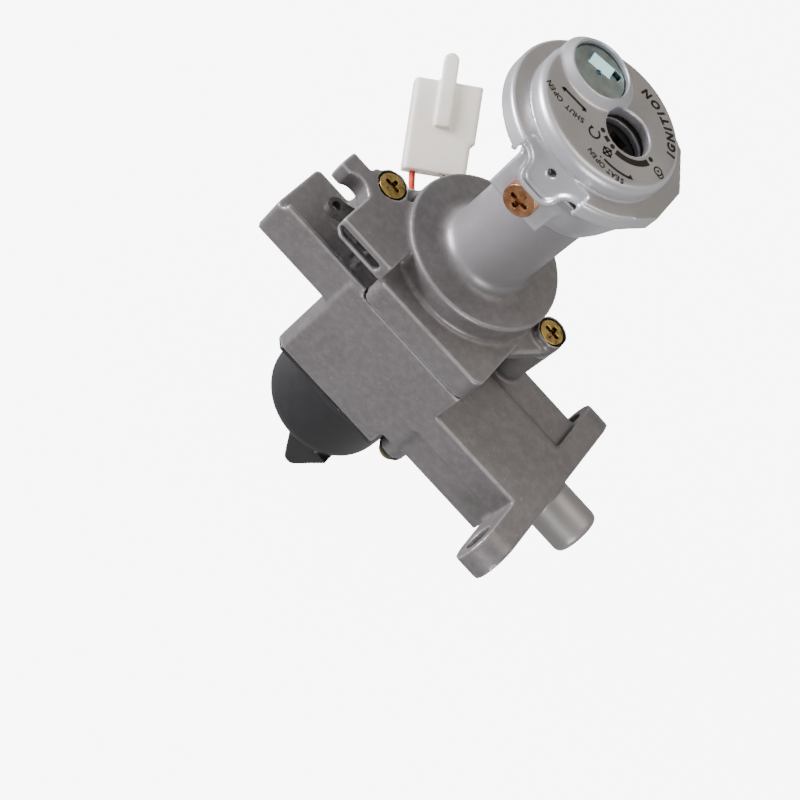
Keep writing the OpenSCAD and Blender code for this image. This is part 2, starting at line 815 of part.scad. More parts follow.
module lower_housing() {
    color(cast_grey) placed() difference() {
        union() {
            slab(block_low, part_z) block_outline(block_right);
            slab(foot_low, block_low + over) block_outline(foot_right);
            along_x(block_right - over, arm_reach + over) arm_outline();
            along_x(arm_reach, seat_x) flange_outline();
            nose();
            tray();
            rod(left_screw, post_r, tray_low, hood_low);
            rod(right_screw, post_r, block_low, right_low);
            rod(lever_at, lever_boss_r, tray_low, tray_floor);
            rod(switch_screw_at[0], switch_boss_r, foot_low, block_low + over);
        }
        rod([0, 0], shaft_r + run, chamber_top - over, part_z + over);
        cam_room();
        bolt_rod(spring_bore_r, shoe_x, shoulder_x);
        bolt_rod(bolt_r + run, shoulder_x - over, seat_x + nose_l + over);
        for (s = [-1, 1]) translate([arm_reach - over, bolt_y + s * hole_span / 2, bolt_z])
            rotate([0, 90, 0]) cylinder(r = hole_r, h = flange_t + 2 * over);
        rod(left_screw, screw_r + seat, left_seat - screw_l - over, hood_low + over);
        rod(right_screw, screw_r + seat, right_seat - screw_l - over, right_low + over);
        rod(lever_at, lever_pin_r + seat, tray_floor - lever_pin_deep, tray_floor + over);
        for (at = switch_screw_at) rod(at, switch_screw_r + seat, foot_low - over, foot_low + switch_screw_l);
    }
}

module dust_ring() {
    color(black) placed() difference() {
        rod([0, 0], plug_head_r, plug_top + pass, plug_top + pass + guide_t);
        block([-slot_t, -slot_w / 2 - pass, plug_top], [slot_t, slot_w / 2 + pass, neck_h + over]);
    }
}

function wafer_z(i) = wafer_low + wafer_pitch * i;

// Slot of one wafer in the plug, with the pocket of its spring
module wafer_room(i) {
    low = wafer_z(i) - run;
    high = wafer_z(i) + wafer_t + run;
    block([-wafer_w / 2 - run, -plug_r - over, low], [wafer_w / 2 + run, plug_r + over, high]);
    block([0, wafer_ear_y[0] - run, low], [wafer_ear_x + run, wafer_ear_y[1] + 2 * over, high]);
    translate([wafer_spring_x, wafer_spring_low, wafer_z(i) + wafer_t / 2]) rotate([-90, 0, 0])
        cylinder(r = wafer_spring_r + wafer_spring_wire + run, h = wafer_ear_y[0] - wafer_spring_low);
}

module lock_plug() {
    color(brass) placed() difference() {
        union() {
            rod([0, 0], plug_r, web_top + 2 * run, plug_top);
            rod([0, 0], plug_head_r, plug_top - plug_head_t, plug_top);
            rod([0, 0], tail_r, tail_low, web_top + over);
            block([-tongue_w / 2, -tongue_t / 2, tail_low - tongue_h],
                [tongue_w / 2, tongue_t / 2, tail_low + over]);
        }
        difference() {
            rod([0, 0], tail_r + over, clip_low - seat, clip_low + clip_t + seat);
            rod([0, 0], clip_in_r, clip_low - over, clip_low + clip_t + over);
        }
        block([-slot_t / 2, -slot_w / 2, slot_low], [slot_t / 2, slot_w / 2, plug_top + over]);
        for (i = [0 : 5]) wafer_room(i);
    }
}

module wafer(i) {
    color(brass) placed() difference() {
        slab(wafer_z(i), wafer_z(i) + wafer_t) {
            intersection() {
                circle(plug_r - run);
                translate([-wafer_w / 2, -plug_r]) square([wafer_w, 2 * plug_r]);
            }
            translate([0, wafer_ear_y[0]]) square([wafer_ear_x, wafer_ear_y[1] - wafer_ear_y[0]]);
        }
        slab(wafer_z(i) - over, wafer_z(i) + wafer_t + over)
            square(wafer_window, center = true);
    }
}

module wafer_springs() {
    color(steel) placed() for (i = [0 : 5])
        translate([wafer_spring_x, 0, wafer_z(i) + wafer_t / 2]) rotate([-90, 0, 0])
            coil(wafer_spring_r, wafer_spring_wire, wafer_spring_low, wafer_ear_y[0], 4, 8, 4);
}

module plug_clip() {
    color(steel) placed() difference() {
        rod([0, 0], clip_r, clip_low, clip_low + clip_t);
        rod([0, 0], clip_in_r + seat, clip_low - over, clip_low + clip_t + over);
        block([0, -clip_gap / 2, clip_low - over], [clip_r + over, clip_gap / 2, clip_low + clip_t + over]);
    }
}

// Cam flank that moves a flat shoe by the same amount for each degree of turn
function cam_point(u) =
    let (a = -(u - cam_off) / bolt_lead * 180 / PI)
    [u * cos(a) + bolt_lead * sin(a), u * sin(a) - bolt_lead * cos(a)];

module cam_outline() {
    flank = [for (i = [0 : cam_steps]) cam_point(cam_first + (cam_lock - cam_first) * i / cam_steps)];
    polygon(concat([[0, 0]], flank, [cam_tip * [cos(cam_tip_angle), sin(cam_tip_angle)], [-shaft_r, 0]]));
}

module drive_shaft() {
    half = square_w / 2;
    color(steel) placed() difference() {
        union() {
            rod([0, 0], shaft_r, shaft_thin_z, shaft_top);
            rod([0, 0], shaft_thin_r, carrier_top + edge, shaft_thin_z + over);
            block([-half, -half, carrier_top - socket_h + pass], [half, half, carrier_top + over]);
            slab(cam_low, cam_low + cam_t) cam_outline();
            rotate(lug_angle) block([0, -lug_w / 2, lug_z[0]], [lug_reach, lug_w / 2, lug_z[1]]);
        }
        block([-shaft_r - over, -tongue_t / 2 - run, tail_low - tongue_h - run],
            [shaft_r + over, tongue_t / 2 + run, tail_low + over]);
    }
}

// Hole or pin through the shoe and the stem
module shoe_cross_pin(r, half) {
    rod([shoe_x + shoe_t / 2, bolt_y], r, bolt_z - half, bolt_z + half);
}

module lock_bolt() {
    color(steel) placed() difference() {
        union() {
            bolt_rod(stem_tip_r, shoe_x + edge, shoe_end + over);
            bolt_rod(stem_r, shoe_end, stem_end + over);
            bolt_rod(bolt_r, stem_end, bolt_tip - over);
            translate([bolt_tip - over, bolt_y, bolt_z]) rotate([0, 90, 0])
                cylinder(r1 = bolt_r, r2 = bolt_r - over, h = over);
        }
        shoe_cross_pin(shoe_pin_r + seat, shoe_h);
    }
}

module bolt_shoe() {
    color(steel) placed() difference() {
        block([shoe_x, shoe_y[0], bolt_z - shoe_h / 2], [shoe_end, shoe_y[1], bolt_z + shoe_h / 2]);
        bolt_rod(stem_tip_r + seat, shoe_x + edge - seat, shoe_end + over);
        shoe_cross_pin(shoe_pin_r + seat, shoe_h);
    }
}

module shoe_pin() {
    color(steel) placed() shoe_cross_pin(shoe_pin_r, shoe_h / 2);
}

module bolt_spring() {
    color(steel) placed() translate([0, bolt_y, bolt_z]) rotate([0, 90, 0])
        coil(bolt_spring_r, bolt_spring_wire, shoe_end, shoulder_x, bolt_spring_turns);
}

module seat_lever() {
    color(steel) placed() difference() {
        slab(lever_low, lever_low + lever_t) {
            translate(lever_at) circle(lever_hub_r);
            for (end = [lever_drive, lever_cable]) {
                bar(lever_at, end, lever_arm_w);
                translate(end) circle(lever_end_r);
            }
        }
        rod(lever_at, lever_pin_r + run, lever_low - over, lever_low + lever_t + over);
        rod(lever_cable, lever_hole_r, lever_low - over, lever_low + lever_t + over);
    }
}

module lever_pin() {
    color(steel) placed() {
        rod(lever_at, lever_pin_r, tray_floor - lever_pin_deep + seat, hood_top - wall - seat);
        rod(lever_at, lever_shoulder_r, tray_floor + seat, lever_low - pass);
    }
}

module lever_spring() {
    color(steel) placed() translate([lever_at[0], lever_at[1], 0])
        coil(lever_spring_r, lever_spring_wire, lever_low + lever_t + pass, hood_top - wall - seat, 4);
}

// Outside of the switch cup as one turned shape
module cup() {
    translate([cup_at[0], cup_at[1], 0]) rotate_extrude() polygon(concat(
        [[0, cup_low]],
        arc(cup_r - cup_round, cup_low + cup_round, cup_round, 270, 360),
        [[cup_r, lip_low + edge], [0, lip_low + edge]]));
}

// Pointed tail that hangs under the cup
module cup_tail() {
    translate([0, tail_y[1], 0]) rotate([90, 0, 0]) linear_extrude(tail_y[1] - tail_y[0]) polygon(concat(
        [[tail_x[1], cup_low + over], [tail_x[0], cup_low + over]],
        arc(tail_tip[0], tail_tip[1] + tail_round, tail_round, tail_arc[0], tail_arc[1])));
}

module switch_case() {
    color(black) placed() difference() {
        union() {
            cup_tail();
            slab(lip_low, foot_low) {
                block_outline(foot_right);
                translate(cup_at) circle(cup_r + edge);
                translate(switch_screw_at[0]) circle(switch_boss_r);
            }
            cup();
            rod(outlet_at, outlet_r, outlet_top - outlet_h, outlet_top);
            block([outlet_at[0] - outlet_r, cup_at[1] + cup_r - 2 * cup_wall, outlet_top - outlet_h],
                [outlet_at[0] + outlet_r, outlet_at[1], outlet_top]);
        }
        rod(cup_at, cup_r - cup_wall, base_top - base_t, foot_low + over);
        rod(cup_at, cup_r - cup_wall - ledge_w, cup_low + cup_floor, base_top);
        rod(outlet_at, sleeve_d / 2 - edge, outlet_top - outlet_h + cup_wall, outlet_top + over);
        for (at = switch_screw_at) rod(at, switch_screw_r + pass, lip_low - over, foot_low + over);
    }
}

module switch_screws() {
    color(zinc_gold) placed() for (at = switch_screw_at) difference() {
        union() {
            rod(at, switch_head_r, lip_low - switch_head_t, lip_low);
            rod(at, switch_screw_r, lip_low - edge, foot_low + switch_screw_l - over);
        }
        translate([0, 0, 2 * lip_low]) mirror([0, 0, 1])
            cross_recess(at, switch_head_r * 1.2, lip_low + switch_head_t);
    }
}

module contact_carrier() {
    half = square_w / 2 + run;
    color(milky) placed() difference() {
        rod([0, 0], carrier_r, carrier_low, carrier_top);
        block([-half, -half, carrier_top - socket_h], [half, half, carrier_top + over]);
        block([-bridge_l / 2 - pass, -bridge_w / 2 - pass, carrier_low - over],
            [bridge_l / 2 + pass, bridge_w / 2 + pass, carrier_low + bridge_room]);
        rod([0, -ball_ring], ball_r + run, carrier_low - over, carrier_low + bridge_room + over);
    }
}

module contact_bridge() {
    color(copper) placed() block([-bridge_l / 2, -bridge_w / 2, bridge_low],
        [bridge_l / 2, bridge_w / 2, bridge_low + bridge_t]);
}

module contact_spring() {
    color(steel) placed() coil(contact_spring_r, contact_spring_wire, bridge_low + bridge_t,
        carrier_low + bridge_room, 4, 10, 5);
}

module contact_base() {
    color(brass) placed() difference() {
        rod(cup_at, cup_r - cup_wall - run, base_top - base_t, base_top);
        for (a = contact_angles)
            rod(contact_ring * [cos(a), sin(a)], contact_r + seat, base_top - base_t - over, base_top + over);
    }
}

module fixed_contacts() {
    color(brass) placed() for (a = contact_angles)
        rod(contact_ring * [cos(a), sin(a)], contact_r, base_top - base_t - over, contact_top);
}

module detent_ball() {
    color(steel) placed() translate([0, -ball_ring, base_top + ball_lift + ball_r]) sphere(r = ball_r);
}

module detent_spring() {
    color(steel) placed() translate([0, -ball_ring, 0])
        coil(detent_spring_r, detent_spring_wire, base_top + ball_lift + 2 * ball_r,
            carrier_low + bridge_room + over, 4, 10, 5);
}

module lead_sleeve() {
    color(black) placed() tube(sleeve_route, sleeve_d / 2, 10, lead_side);
}

module wire(k, tint) {
    color(tint) placed() tube(wire_route(k), wire_d / 2, 8, lead_side);
}

module plug_housing() {
    latch_end = plug_l + latch_past - latch_w / 2;
    color(milky) placed() translate(plug_at) rotate(plug_turn) difference() {
        union() {
            slab(0, plug_l)
                rounded(-plug_w / 2, plug_w / 2 - plug_step, -plug_t / 2, plug_t / 2, plug_round);
            slab(plug_step_l, plug_l)
                rounded(-plug_w / 2, plug_w / 2, -plug_t / 2, plug_t / 2, plug_round);
            block([latch_x - latch_w / 2, -plug_t / 2 - latch_t, plug_l / 2],
                [latch_x + latch_w / 2, edge - plug_t / 2, latch_end]);
            translate([latch_x, edge - plug_t / 2, latch_end]) rotate([90, 0, 0])
                cylinder(r = latch_w / 2, h = latch_t + edge);
        }
        slab(plug_l - mouth_deep, plug_l + over)
            rounded(plug_skin - plug_w / 2, plug_w / 2 - plug_skin, plug_skin - plug_t / 2,
                plug_t / 2 - plug_skin, plug_round);
        for (x = [-1, 1] * wire_pitch[0], y = [-1, 1] * wire_pitch[1])
            rod([wire_side + x, y], wire_d / 2 + pass / 2, -over, wire_hole_deep);
    }
}

module plug_terminals() {
    color(brass) placed() translate(plug_at) rotate(plug_turn)
        for (x = [-1, 1] * wire_pitch[0], y = [-1, 1] * wire_pitch[1])
            translate([wire_side + x - terminal_w / 2, y - terminal_t / 2, plug_l - mouth_deep])
                cube([terminal_w, terminal_t, terminal_l]);
}

cover_cap();
cover_base();
cover_screw();
cap_screws();
magnet_rotor();
shutter_plate();
upper_housing();
lower_housing();
housing_screws();
dust_ring();
lock_plug();
wafer(0);  // wafer_1
wafer(1);  // wafer_2
wafer(2);  // wafer_3
wafer(3);  // wafer_4
wafer(4);  // wafer_5
wafer(5);  // wafer_6
wafer_springs();
plug_clip();
drive_shaft();
lock_bolt();
bolt_shoe();
shoe_pin();
bolt_spring();
seat_lever();
lever_pin();
lever_spring();
switch_case();
switch_screws();
contact_carrier();
contact_bridge();
contact_spring();
contact_base();
fixed_contacts();
detent_ball();
detent_spring();
lead_sleeve();
wire(0, [0.75, 0.12, 0.1]);  // wire_red
wire(1, [0.9, 0.4, 0.1]);  // wire_orange
wire(2, black);  // wire_black
wire(3, [0.1, 0.4, 0.2]);  // wire_green
plug_housing();
plug_terminals();
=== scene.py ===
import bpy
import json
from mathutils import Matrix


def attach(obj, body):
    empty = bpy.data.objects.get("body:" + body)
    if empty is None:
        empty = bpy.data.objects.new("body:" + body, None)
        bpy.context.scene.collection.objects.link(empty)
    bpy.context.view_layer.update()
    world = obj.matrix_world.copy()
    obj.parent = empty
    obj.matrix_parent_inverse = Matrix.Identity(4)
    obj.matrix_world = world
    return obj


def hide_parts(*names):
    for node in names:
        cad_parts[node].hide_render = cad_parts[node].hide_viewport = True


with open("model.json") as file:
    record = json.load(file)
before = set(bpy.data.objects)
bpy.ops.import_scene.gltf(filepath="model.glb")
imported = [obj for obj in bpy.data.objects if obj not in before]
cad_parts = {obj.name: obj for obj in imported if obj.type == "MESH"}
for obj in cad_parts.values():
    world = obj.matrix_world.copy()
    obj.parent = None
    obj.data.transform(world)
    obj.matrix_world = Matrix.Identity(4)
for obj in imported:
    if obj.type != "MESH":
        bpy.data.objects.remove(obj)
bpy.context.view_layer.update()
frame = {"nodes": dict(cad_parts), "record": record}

import json
from math import cos, radians, sin
import bpy
from mathutils import Matrix, Vector
from mathutils.bvhtree import BVHTree

nodes = frame["nodes"]
bpy.ops.object.select_all(action="DESELECT")

# The lock is looked at from the front and from well above, with a longish lens. The directions of
# the picture's right, top and depth follow from the round flange and the straight edges.
MM = 0.001
right, top, depth = (0.676, 0.527, 0.515), (-0.732, 0.558, 0.391), (0.081, 0.642, -0.763)
bpy.ops.object.camera_add()
camera = bpy.context.object
camera.data.lens = 67.95
camera.data.sensor_width = 36
camera.data.clip_start = 0.01
look = Matrix((right, top, [-d for d in depth])).transposed()
camera.matrix_world = Matrix.Translation(Vector((-83.4, -283.0, 319.2)) * MM) @ look.to_4x4()
bpy.context.scene.camera = camera


def own(x, y, z):
    """A point measured from the top of the round flange, on the lock's axis, in the part's frame."""
    return Vector((x - 64, y + 13.6, z + 36.1)) * MM


# The two housings are raw die castings of a zinc alloy: matte grey with cloudy flow marks, a fine
# grain and rubbed, lighter edges. The mould leaves every edge a little round.
class Shade:
    """A socket of a material's nodes, on which sums are written as plain Python."""

    def __init__(self, tree, socket=None):
        self.tree, self.socket = tree, socket

    def node(self, kind, sockets=(), out=0, **settings):
        """Adds a node: its settings, then the values or links of its sockets."""
        made = self.tree.nodes.new("ShaderNode" + kind)
        for name, value in settings.items():
            setattr(made, name, value)
        for key, value in dict(sockets).items():
            if isinstance(value, Shade):
                self.tree.links.new(value.socket, made.inputs[key])
            else:
                made.inputs[key].default_value = value
        return Shade(self.tree, made.outputs[out] if len(made.outputs) else None)

    def math(self, operation, first, second=0.0):
        return self.node("Math", {0: first, 1: second}, operation=operation)

    def __add__(self, other):
        return self.math("ADD", self, other)

    def __sub__(self, other):
        return self.math("SUBTRACT", self, other)

    def __rsub__(self, other):
        return self.math("SUBTRACT", other, self)

    def __mul__(self, other):
        return self.math("MULTIPLY", self, other)

    __radd__, __rmul__ = __add__, __mul__

    def along(self, axis):
        """One part of a place or a direction."""
        return self.node("SeparateXYZ", {0: self}, out="XYZ".index(axis))

    def noise(self, place, scale, detail=3.0, rough=0.5):
        return self.node("TexNoise", {"Vector": place, "Scale": scale, "Detail": detail, "Roughness": rough})

    def band(self, low, high):
        """This value stretched so that low becomes 0 and high becomes 1."""
        return self.node("MapRange", {0: self, 1: low, 2: high})

    def mixed(self, first, second):
        """A colour between two, with this value as the share of the second."""
        return self.node("Mix", {0: self, 6: first, 7: second}, out=2, data_type="RGBA")

    def bumped(self, height, strength, depth):
        return self.node("Bump", {"Height": height, "Strength": strength, "Distance": depth * MM})

    def worn_edges(self, place):
        """How far a surface stands out as an edge, broken up, as where edges are rubbed."""
        edge = self.node("NewGeometry", out="Pointiness").band(0.515, 0.56)
        return edge * self.noise(place, 260, 3).band(0.2, 0.5)

    def painted_hollow_shade(self, reach):
        """How much a place lies in a hollow of its own piece, for painted shade there."""
        open_sky = self.node("AmbientOcclusion", {"Distance": reach * MM}, out="AO",
                             samples=6, only_local=True)
        return open_sky.band(0.9, 0.45)


def finish(name, sockets):
    """A new material. sockets gets its node maker and Object coordinates, and returns what it sets."""
    made = bpy.data.materials.new(name)
    made.use_nodes = True
    made.node_tree.nodes.clear()
    maker = Shade(made.node_tree)
    place = maker.node("TexCoord", out="Object")
    shader = maker.node("BsdfPrincipled", sockets(maker, place))
    maker.node("OutputMaterial", {"Surface": shader})
    return made


def stand_in(node, material):
    """A merged copy of a CAD piece, which stands for it: on the same body."""
    copy = bpy.data.objects.new(node + "_soft", nodes[node].data.copy())
    bpy.context.scene.collection.objects.link(copy)
    bpy.ops.object.select_all(action="DESELECT")
    copy.select_set(True)
    bpy.context.view_layer.objects.active = copy
    bpy.ops.object.mode_set(mode="EDIT")
    bpy.ops.mesh.select_all(action="SELECT")
    bpy.ops.mesh.remove_doubles(threshold=0.002 * MM)
    bpy.ops.mesh.dissolve_limited(angle_limit=radians(0.6))
    bpy.ops.object.mode_set(mode="OBJECT")
    copy.data.materials.clear()
    copy.data.materials.append(material)
    bodies = frame["record"]["behaviour"]["bodies"]
    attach(copy, next(body for body, held in bodies.items() if node in held))
    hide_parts(node)
    return copy


corners, sides = [], []
for solid in nodes.values():
    sides += [[len(corners) + k for k in side.vertices] for side in solid.data.polygons]
    corners += [corner.co.copy() for corner in solid.data.vertices]
walls = BVHTree.FromPolygons(corners, sides)


def closed_in(corner):
    """Whether a corner of a mesh has pieces on all sides, as in a bore or between two castings."""
    ahead = corner.normal
    aside = ahead.orthogonal().normalized()
    across = ahead.cross(aside)
    clear_of_wall, sight = 0.3 * MM, 100 * MM
    start = corner.co + clear_of_wall * ahead
    looks = (ahead, ahead + aside, ahead - aside, ahead + across, ahead - across)
    return all(walls.ray_cast(start, look, sight)[0] for look in looks)


def cast(node, material, cell, rounds, also=None, room=0.0):
    """A stand-in with its edges run round, as a mould leaves them. Closed hollows keep the CAD's walls,
    or stand back from them by the given room, where a sharp-cornered piece moves."""
    piece = stand_in(node, material)
    if also:
        also.select_set(True)
        bpy.ops.object.join()
    skin = piece.modifiers.new("skin", "REMESH")
    skin.mode = "VOXEL"
    skin.voxel_size = cell * MM
    bpy.ops.object.modifier_apply(modifier="skin")
    seats = piece.vertex_groups.new(name="seats")
    seats.add([corner.index for corner in piece.data.vertices if closed_in(corner)], 1, "REPLACE")
    flow = piece.modifiers.new("flow", "SMOOTH")
    flow.factor, flow.iterations = 0.5, rounds
    flow.vertex_group, flow.invert_vertex_group = "seats", True
    fit = piece.modifiers.new("fit", "SHRINKWRAP")
    fit.target, fit.vertex_group = nodes[node], "seats"
    if room:
        fit.wrap_mode, fit.offset = "INSIDE", room * MM
    for change in ("flow", "fit"):
        bpy.ops.object.modifier_apply(modifier=change)
    piece.vertex_groups.clear()
    bpy.ops.object.shade_smooth()
    return piece


nose_from, neck_from = 0.6 * MM, 37.5 * MM


def raw_casting(s, place):
    """Clouds, flecks and grains in grey. The nose is turned bright, and the neck is smoother and painted
    lighter, as a painted sheen.
    """
    flow = s.noise(place, 55, 6, 0.62).band(0.3, 0.72)
    fleck = s.noise(place, 420, 4, 0.6).band(0.42, 0.66)
    grain = s.noise(place, 2200, 3)
    tint = flow.mixed((0.112, 0.102, 0.1, 1), (0.15, 0.139, 0.138, 1))
    tint = (0.4 * fleck).mixed(tint, (0.2, 0.188, 0.187, 1))
    tint = (0.3 * s.noise(place, 1300, 2).band(0.68, 0.76)).mixed(tint, (0.4, 0.39, 0.39, 1))
    turned = place.along("X").band(nose_from - 0.2 * MM, nose_from + 0.2 * MM)
    tint = turned.mixed(tint, (0.24, 0.225, 0.22, 1))
    # The neck is painted lighter above the flange: a painted sheen.
    neck_sheen = place.along("Z").band(neck_from - MM, neck_from + MM)
    tint = (0.65 * neck_sheen).mixed(tint, (0.26, 0.252, 0.258, 1))
    worn = s.worn_edges(place)
    return {"Base Color": (0.6 * worn).mixed(tint, (0.4, 0.39, 0.39, 1)), "Metallic": 0.35,
            "Roughness": 0.46 - 0.1 * flow - 0.1 * worn, "Specular IOR Level": 0.9,
            "Normal": s.bumped(grain * 0.6 + fleck * 0.8, 0.2, 0.08)}


casting = finish("raw_die_casting", raw_casting)
cast("lower_housing", casting, cell=0.57, rounds=2, room=0.25)
cast("upper_housing", casting, cell=0.6, rounds=2, room=0.2)


# Yellow zinc screws hold the housings and the switch together. Their cross recesses are painted darker,
# as painted shade.
def metal(name, dark, light, rough, scale=220, hollow_shade_tint=(0.02, 0.014, 0.006)):
    """Bare or plated metal: a cloudy tint and a little grain, and hollows darkened with painted shade."""
    def sockets(s, place):
        cloud = s.noise(place, scale, 5, 0.6).band(0.3, 0.72)
        grain = s.noise(place, 2600, 2)
        # Painted shade darkens the hollows, such as the cross recesses of the screws.
        tint = s.painted_hollow_shade(1.2).mixed(cloud.mixed((*dark, 1), (*light, 1)), (*hollow_shade_tint, 1))
        return {"Base Color": tint, "Metallic": 1.0,
                "Roughness": rough + 0.2 * cloud - 0.06 * grain, "Normal": s.bumped(grain, 0.15, 0.04)}
    return finish(name, sockets)


yellow_zinc = metal("yellow_zinc_plate", (0.26, 0.16, 0.04), (0.6, 0.42, 0.15), 0.24, 500)
for node in ("housing_screws", "switch_screws"):
    cast(node, yellow_zinc, cell=0.17, rounds=4)


# The lock inside: a brass plug with its wafers, a steel shaft with the cam, and the steel bolt. All of
# it is turned or stamped and stays bare.
def coat(material, *names):
    """Gives CAD pieces that keep their shape a material."""
    for name in names:
        nodes[name].data.materials.clear()
        nodes[name].data.materials.append(material)


brass = metal("worked_brass", (0.5, 0.33, 0.12), (0.72, 0.52, 0.22), 0.28)
steel = metal("turned_steel", (0.36, 0.36, 0.37), (0.56, 0.56, 0.57), 0.26)
coat(brass, "lock_plug", "fixed_contacts", "plug_terminals", *("wafer_%d" % k for k in range(1, 7)))
coat(steel, "wafer_springs", "plug_clip", "drive_shaft", "lock_bolt", "shoe_pin", "bolt_spring",
     "lever_pin", "lever_spring", "contact_spring", "detent_ball", "detent_spring", "cap_screws",
     "shutter_plate")
cast("bolt_shoe", steel, cell=0.3, rounds=1)
# The seat lever lies in the tray and is painted almost black: painted shade.
coat(metal("lever_steel_painted_dark", (0.1, 0.098, 0.095), (0.15, 0.146, 0.14), 0.55), "seat_lever")


# The cover is cast and painted in fine metallic silver. Its face is painted a little darker and warmer
# than its rims, as painted shade, and the tongue in its front pocket has a soft lip. A copper-plated
# screw clamps it to the neck.
def silver_paint(s, place):
    """Metallic paint with fine flakes, with painted shade: darker and warmer where it faces up."""
    flake = s.noise(place, 5200, 1)
    cloud = s.noise(place, 70, 4).band(0.3, 0.7)
    # Painted shade: where the paint faces up it is darker and warmer, and on its sides lighter and bluer.
    up = s.node("NewGeometry", out="Normal").along("Z").band(0.9, 0.99)
    side = cloud.mixed((0.48, 0.48, 0.51, 1), (0.56, 0.565, 0.595, 1))
    face = cloud.mixed((0.28, 0.262, 0.245, 1), (0.32, 0.3, 0.28, 1))
    tint = (0.2 * flake).mixed(up.mixed(side, face), (0.75, 0.75, 0.76, 1))
    return {"Base Color": tint, "Metallic": 0.7,
            "Roughness": 0.38 + 0.1 * cloud - 0.08 * flake, "Normal": s.bumped(flake, 0.06, 0.04)}


silver = finish("silver_paint", silver_paint)
cast("cover_base", silver, cell=0.42, rounds=4)
tongue_middle, tongue_bend, tongue_front = -5.5, 47.0, -20.2
flare_at, flare_r, round_at, round_r = 10.0, 4.4, 2.2, 3.4
lip_thick, lip_curl = 1.7, 0.25


def tube(name, points, thick, steps):
    """A round bar along the points, with closed ends, as a mesh."""
    line = bpy.data.curves.new(name, "CURVE")
    line.dimensions = "3D"
    line.bevel_depth = thick / 2 * MM
    line.bevel_resolution = steps
    line.use_fill_caps = True
    spline = line.splines.new("POLY")
    spline.points.add(len(points) - 1)
    for knot, point in zip(spline.points, points):
        knot.co = (*point, 1)
    bar = bpy.data.objects.new(name, line)
    bpy.context.scene.collection.objects.link(bar)
    bpy.ops.object.select_all(action="DESELECT")
    bar.select_set(True)
    bpy.context.view_layer.objects.active = bar
    bpy.ops.object.convert(target="MESH")
    return bpy.context.object


def border_arc(x, r, angles):
    """Points of the tongue's border on an arc whose centre is as high as the tongue's bend."""
    return [(x + r * cos(radians(a)), tongue_bend + r * sin(radians(a))) for a in angles]


border = [(-flare_at - 0.4, tongue_bend + 0.8), (-flare_at - 0.9, tongue_bend + 2.8)]
border += border_arc(-flare_at, flare_r, range(95, -1, -19))
border += border_arc(-round_at, round_r, range(200, 271, 14))
border += [(-x, z) for x, z in reversed(border)]
lip_line = [own(tongue_middle + x, tongue_front - lip_curl * max(0, tongue_bend - z), z) for x, z in border]
lip = tube("pocket_lip", lip_line, lip_thick, steps=3)
cast("cover_cap", silver, cell=0.36, rounds=5, also=lip, room=0.15)
copper_plate = metal("copper_plate", (0.36, 0.15, 0.07), (0.6, 0.32, 0.17), 0.25, 500, (0.1, 0.07, 0.01))
cast("cover_screw", copper_plate, cell=0.14, rounds=4)


# The rotor in the boss is plated and swings the shutter under the cover. Its flat is a warm grey-green,
# the ridge's flanks are a lighter blue, the plate's tint with a painted sheen, and the pocket at the
# ridge's end is painted black as painted shade.
def rotor_plate(s, place):
    """Cloudy plate, tinted by whether it lies level: a painted sheen off the level, and painted shade in its
    hollows.
    """
    cloud = s.noise(place, 300, 4).band(0.3, 0.7)
    # Off the level the flanks get a lighter blue: the plate's tint and a painted sheen.
    level = s.node("NewGeometry", out="Normal").along("Z").band(0.965, 0.995)
    flank_tint_and_sheen = cloud.mixed((0.3, 0.52, 0.56, 1), (0.38, 0.6, 0.64, 1))
    flat = cloud.mixed((0.22, 0.245, 0.22, 1), (0.3, 0.34, 0.31, 1))
    # Painted shade turns the hollows black, such as the pocket at the ridge's end.
    tint = s.painted_hollow_shade(1.4).mixed(level.mixed(flank_tint_and_sheen, flat), (0.006, 0.006, 0.006, 1))
    return {"Base Color": tint, "Metallic": 0.85, "Roughness": 0.28 + 0.12 * cloud}


cast("magnet_rotor", finish("rotor_plate", rotor_plate), cell=0.14, rounds=2)


# The lead leaves the switch in a black rubber sleeve, which lies close behind the castings. Four
# plastic-covered wires come out of it and go up into the plug of natural nylon, milky and see-through.
def insulation(name, dark, light, rough, smeared=0.18):
    """Soft plastic or rubber with faint smears and a rub-worn sheen."""
    def sockets(s, place):
        smear = s.noise(place, 260, 4).band(0.35, 0.7)
        dust = s.noise(place, 2400, 2)
        return {"Base Color": smear.mixed((*dark, 1), (*light, 1)), "Roughness": rough + smeared * smear,
                "Normal": s.bumped(dust, 0.12, 0.05)}
    return finish(name, sockets)


def nylon(s, place):
    """Milky plastic that lets a little light in."""
    cloud = s.noise(place, 120, 4).band(0.3, 0.75)
    grain = s.noise(place, 1500, 2)
    return {"Base Color": cloud.mixed((0.93, 0.87, 0.78, 1), (0.97, 0.93, 0.87, 1)),
            "Roughness": 0.34 + 0.16 * cloud, "Transmission Weight": 0.15, "Subsurface Weight": 0.35,
            "Subsurface Radius": (0.004, 0.003, 0.002), "Subsurface Scale": 1.0,
            "Normal": s.bumped(grain, 0.1, 0.05)}


def smooth(points, count=21):
    """Points along one smooth curve through the given ones."""
    ends = [points[0] * 2 - points[1]] + points + [points[-1] * 2 - points[-2]]
    made = []
    for i in range(count):
        at = i * (len(points) - 1) / (count - 1)
        k = min(int(at), len(points) - 2)
        t = at - k
        a, b, c, d = ends[k:k + 4]
        made.append(0.5 * (2 * b + (c - a) * t + (2 * a - 5 * b + 4 * c - d) * t ** 2
                           + (3 * b - a - 3 * c + d) * t ** 3))
    return made


def lay_cord(node, slot, points, thick, material, **facts):
    """A round cord along the points, which stands for a CAD piece of the lead."""
    cord = tube(node + "_skin", points, thick, steps=5)
    bpy.ops.object.shade_smooth_by_angle(angle=radians(40))
    cord.data.materials.append(material)
    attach(cord, "housing")
    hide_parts(node)
    length = sum((b - a).length for a, b in zip(points, points[1:]))


